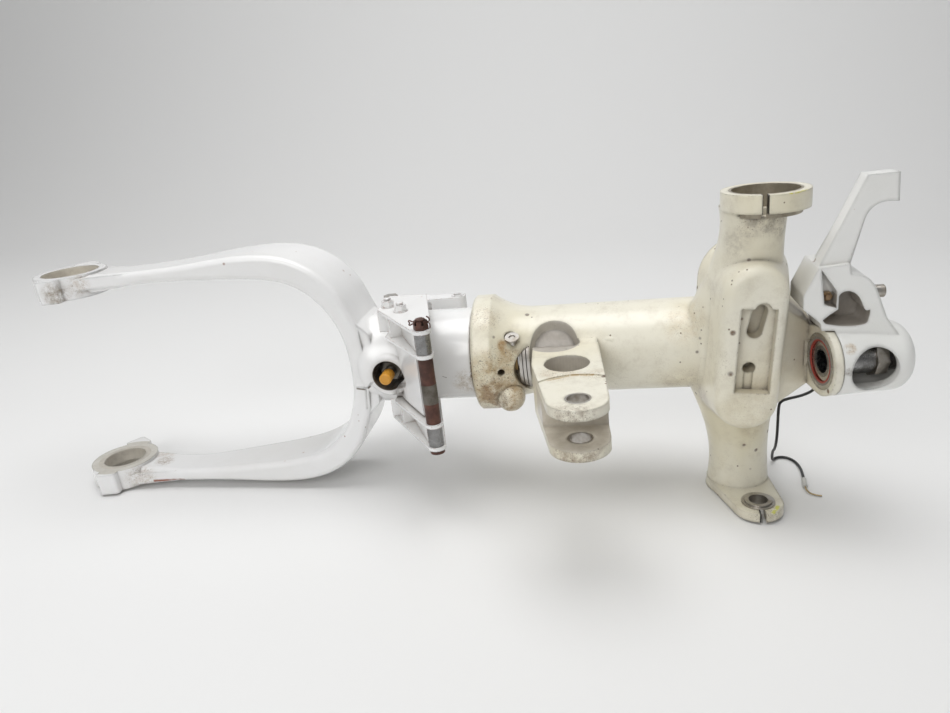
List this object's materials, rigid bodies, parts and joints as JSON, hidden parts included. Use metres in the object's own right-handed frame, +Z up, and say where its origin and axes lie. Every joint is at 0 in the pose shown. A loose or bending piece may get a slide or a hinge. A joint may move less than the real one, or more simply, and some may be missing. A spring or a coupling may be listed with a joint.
{
  "type": "nose landing gear assembly",
  "caption": "Light-aircraft nose gear leg lying on its side: trunnion housing with oleo strut, wheel fork, link pin, torque link and steering bellcrank.",
  "frame": {"origin": "centre of the bounding box on the ground that the gear lies on", "axes": "+Z up; +X along the strut from the wheel fork to the trunnion; -Y is the side that carries the drag brace clevis and faces the viewer"},
  "size_m": [0.7654, 0.257, 0.2937],
  "materials": {
    "cream_paint": "semi-gloss cream enamel, worn and stained with old grease",
    "white_paint": "glossy white enamel, chipped at edges",
    "bare_steel": "machined, dulled",
    "bearing_steel": "ground",
    "dark_steel": "dark, oily",
    "rusted_steel": "brown rust film",
    "chrome_plate": "hard chrome",
    "bearing_bronze": "plain bronze",
    "bare_aluminium": "machined",
    "orange_cap": "orange-yellow",
    "black_rubber": "matte",
    "red_seal": "satin",
    "wire_jacket": "satin black",
    "white_sleeve": "shrink sleeve",
    "bare_wire": "bare strands"
  },
  "bodies": {
    "housing": {"main_housing": "cream_paint", "lower_bearing": "bearing_bronze", "upper_bearing": "bearing_bronze", "dust_wiper": "black_rubber", "locking_rings": "bare_steel", "grease_plug": "bare_steel", "upper_trunnion_liner": "bare_steel", "lower_trunnion_bush": "bare_steel", "lower_trunnion_washers": "bare_steel", "brace_bushes": "bare_steel", "end_plug": "dark_steel", "ear_outer_race": "bare_steel", "ear_seal": "red_seal", "ear_balls": "bearing_steel", "wire_gland": "dark_steel", "sensor_wire": "wire_jacket", "wire_sleeve": "white_sleeve", "wire_tip": "bare_wire"},
    "swivel_cylinder": {"inner_cylinder": "chrome_plate", "piston_gland": "bearing_bronze", "metering_tube": "bare_aluminium"},
    "fork_leg": {"fork": "white_paint", "piston_tube": "chrome_plate", "piston_head": "bearing_bronze", "hub_bolt": "dark_steel", "hub_nut": "dark_steel", "hub_cap": "orange_cap", "upper_link_bracket": "white_paint", "lower_link_bracket": "white_paint", "bracket_bolts": "white_paint", "torque_link_pin": "bare_steel"},
    "link_pin_set": {"link_pin": "rusted_steel", "link_pin_nut": "rusted_steel", "cotter_pin": "rusted_steel", "outer_spacers": "bare_steel", "rusty_sleeves": "rusted_steel", "centre_sleeve": "dark_steel"},
    "lower_torque_link": {"torque_link": "white_paint", "torque_link_bushes": "white_paint"},
    "bellcrank": {"steering_bellcrank": "white_paint", "crank_bolt": "rusted_steel", "stub_pin": "bare_steel", "pivot_shaft": "bare_steel", "shaft_nut": "bare_steel", "ear_inner_race": "bearing_steel"}
  },
  "joints": [
    {"name": "steering_swivel", "type": "hinge", "parent": "housing", "child": "swivel_cylinder", "pos_m": [0.15463, 0.054, 0.13911], "axis": [0.9984, 0, 0.0568], "range_deg": [-30, 30]},
    {"name": "strut_stroke", "type": "slide", "parent": "swivel_cylinder", "child": "fork_leg", "axis": [-0.9984, 0, -0.0568], "range_m": [0, 0.17]},
    {"name": "link_pin_spin", "type": "hinge", "parent": "fork_leg", "child": "link_pin_set", "pos_m": [0.00387, -0.034, 0.13053], "axis": [-0.0568, 0, 0.9984], "continuous": true},
    {"name": "torque_link_swing", "type": "hinge", "parent": "fork_leg", "child": "lower_torque_link", "pos_m": [-0.06302, 0.116, 0.12672], "axis": [-0.0568, 0, 0.9984], "range_deg": [-10, 100]},
    {"name": "bellcrank_swing", "type": "hinge", "parent": "housing", "child": "bellcrank", "pos_m": [0.31542, -0.004, 0.14726], "axis": [0.9832, 0.1736, 0.056], "range_deg": [0, 40]}
  ]
}
